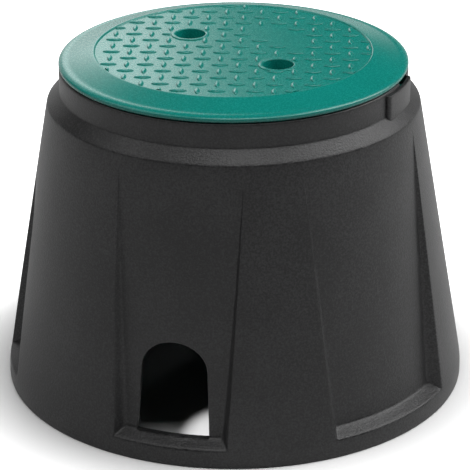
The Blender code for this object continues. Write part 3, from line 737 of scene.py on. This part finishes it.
# Studio
# A white floor and backdrop without an edge, soft lamps above, at the sides and behind, and a narrow beam
# that reaches the floor inside the box through the front arch. The plastic mirrors a dimmer floor than the
# camera sees, and a pale wall that fades out above the horizon.
FLOOR_REACH = 6.0
FLOOR_WHITE = "#f7f7f7"
FLOOR_BOUNCE = "#8c8c8c"
FLOOR_ROUGHNESS = 0.9
FLOOR_GLOW = 0.60
MIRRORED_SHARE = 0.1
GLOW_START = BASE_RADIUS
GLOW_FULL = 1.3 * BASE_RADIUS
WALL_FULL_HEIGHT = 0.02
WALL_FADE_HEIGHT = 0.20
AMBIENT_LEVEL = 0.015
LAMP_TARGET = (0.0, 0.0, 0.15)
# name, place, size in metres and power in watts
SOFT_LAMPS = (
    ("front_top", (0.0, -0.7, 2.0), 0.8, 11.0),
    ("front_right_top", (0.85, -0.5, 1.9), 0.8, 5.5),
    ("left_top", (-1.15, -0.1, 1.55), 1.3, 7.0),
    ("right_top", (1.1, 0.2, 1.7), 0.8, 13.0),
    ("right_back", (1.75, 0.6, 1.3), 0.8, 12.0),
    ("sheen_wide", (-0.6, 1.55, 0.85), 1.1, 2.8),
    ("sheen_near", (-0.3, 1.6, 0.85), 0.5, 1.7),
)
BEAM_PLACE = (-0.435, -0.994, 0.689)
BEAM_TARGET = (-0.017, -0.110, 0.0)
BEAM_ANGLE = 2.2
BEAM_LAMP_RADIUS = 0.003
BEAM_POWER = 80.0
CAMERA_DISTANCE = 1.6300
CAMERA_HEIGHT = 0.8177
CAMERA_PITCH = 0.4130
CAMERA_YAW = 0.0003
CAMERA_ROLL = -0.0049
FOCAL_PIXELS = 2396.0
FRAME_PIXELS = 470
SENSOR_MM = 36.0


def ray_kinds(owner):
    """Whether a ray comes from the camera, and whether it was mirrored or came through a clear piece."""
    rays = add_node(owner, "ShaderNodeLightPath", {}, {})
    mirrored = add_node(owner, "ShaderNodeMath", {"operation": "ADD", "use_clamp": True},
                        {0: rays.outputs["Is Glossy Ray"], 1: rays.outputs["Is Transmission Ray"]})
    return rays.outputs["Is Camera Ray"], mirrored.outputs["Value"]


def studio_floor():
    """Floor that is near white to the camera and in mirrors, and grey to the light that it throws back. Its
    glow grows with the distance from the box and is left out under it, so that the shadow stays."""
    material = bpy.data.materials.new("floor_white")
    material.use_nodes = True
    camera_ray, mirrored = ray_kinds(material)
    seen = add_node(material, "ShaderNodeMath", {"operation": "ADD", "use_clamp": True},
                    {0: camera_ray, 1: mirrored})
    paper = add_node(material, "ShaderNodeMix",
                     {"data_type": "RGBA", 6: linear(FLOOR_BOUNCE), 7: linear(FLOOR_WHITE)},
                     {0: seen.outputs["Value"]})
    place = add_node(material, "ShaderNodeTexCoord", {}, {}).outputs["Object"]
    distance = add_node(material, "ShaderNodeVectorMath", {"operation": "LENGTH"}, {0: place})
    outside = add_node(material, "ShaderNodeMapRange", {"From Min": GLOW_START, "From Max": GLOW_FULL},
                       {"Value": distance.outputs["Value"]})
    strength = add_node(material, "ShaderNodeMath",
                        {"operation": "MULTIPLY_ADD", 1: FLOOR_GLOW, 2: FLOOR_GLOW},
                        {0: distance.outputs["Value"]})
    share = add_node(material, "ShaderNodeMath", {"operation": "MULTIPLY_ADD", 1: MIRRORED_SHARE},
                     {0: mirrored, 2: camera_ray})
    lift = add_node(material, "ShaderNodeMath", {"operation": "MULTIPLY"},
                    {0: share.outputs["Value"], 1: strength.outputs["Value"]})
    glow = add_node(material, "ShaderNodeMath", {"operation": "MULTIPLY"},
                    {0: outside.outputs["Result"], 1: lift.outputs["Value"]})
    shader = material.node_tree.nodes["Principled BSDF"]
    shader.inputs["Roughness"].default_value = FLOOR_ROUGHNESS
    shader.inputs["Specular IOR Level"].default_value = 0.0
    shader.inputs["Emission Color"].default_value = (1.0, 1.0, 1.0, 1.0)
    links = material.node_tree.links
    links.new(paper.outputs[2], shader.inputs["Base Color"])
    links.new(glow.outputs["Value"], shader.inputs["Emission Strength"])
    return material


def studio_world():
    """World that is white to the camera, and in mirrors a pale wall that fades out above the horizon. On the
    object it gives next to no light."""
    world = bpy.data.worlds.new("studio")
    world.use_nodes = True
    camera_ray, mirrored = ray_kinds(world)
    way = add_node(world, "ShaderNodeTexCoord", {}, {}).outputs["Generated"]
    height = add_node(world, "ShaderNodeSeparateXYZ", {}, {0: way}).outputs["Z"]
    wall = add_node(world, "ShaderNodeMapRange",
                    {"From Min": WALL_FULL_HEIGHT, "From Max": WALL_FADE_HEIGHT, "To Min": 1.0,
                     "To Max": 0.0}, {"Value": height})
    shown = add_node(world, "ShaderNodeMath", {"operation": "MULTIPLY_ADD"},
                     {0: mirrored, 1: wall.outputs["Result"], 2: camera_ray})
    level = add_node(world, "ShaderNodeMath", {"operation": "ADD", 1: AMBIENT_LEVEL},
                     {0: shown.outputs["Value"]})
    backdrop = world.node_tree.nodes["Background"]
    backdrop.inputs["Color"].default_value = (1.0, 1.0, 1.0, 1.0)
    world.node_tree.links.new(level.outputs["Value"], backdrop.inputs["Strength"])
    return world


def add_lamp(name, kind, place, target, power):
    """Lamp that faces a point."""
    light = bpy.data.lights.new(name, kind)
    light.energy = power
    lamp = bpy.data.objects.new(name, light)
    lamp.location = place
    lamp.rotation_euler = (Vector(target) - lamp.location).to_track_quat("-Z", "Y").to_euler()
    bpy.context.scene.collection.objects.link(lamp)
    return light


corners = [(-FLOOR_REACH, -FLOOR_REACH, 0), (FLOOR_REACH, -FLOOR_REACH, 0),
           (FLOOR_REACH, FLOOR_REACH, 0), (-FLOOR_REACH, FLOOR_REACH, 0)]
floor = new_piece("floor", corners, [(0, 1, 2, 3)])
floor.data.materials.append(studio_floor())
bpy.context.scene.world = studio_world()

for name, place, size, power in SOFT_LAMPS:
    add_lamp(name, "AREA", place, LAMP_TARGET, power).size = size
beam = add_lamp("arch_beam", "SPOT", BEAM_PLACE, BEAM_TARGET, BEAM_POWER)
beam.spot_size = math.radians(BEAM_ANGLE)
beam.spot_blend = 1.0
beam.shadow_soft_size = BEAM_LAMP_RADIUS

camera = bpy.data.cameras.new("camera")
camera.sensor_width = SENSOR_MM
camera.lens = FOCAL_PIXELS / FRAME_PIXELS * SENSOR_MM
camera_object = bpy.data.objects.new("camera", camera)
camera_object.location = (0.0, -CAMERA_DISTANCE, CAMERA_HEIGHT)
facing = Matrix.Rotation(-CAMERA_YAW, 4, "Z") @ Matrix.Rotation(math.pi / 2 - CAMERA_PITCH, 4, "X")
camera_object.rotation_euler = (facing @ Matrix.Rotation(CAMERA_ROLL, 4, "Z")).to_euler()
bpy.context.scene.collection.objects.link(camera_object)
bpy.context.scene.camera = camera_object
bpy.context.scene.view_settings.view_transform = "Standard"
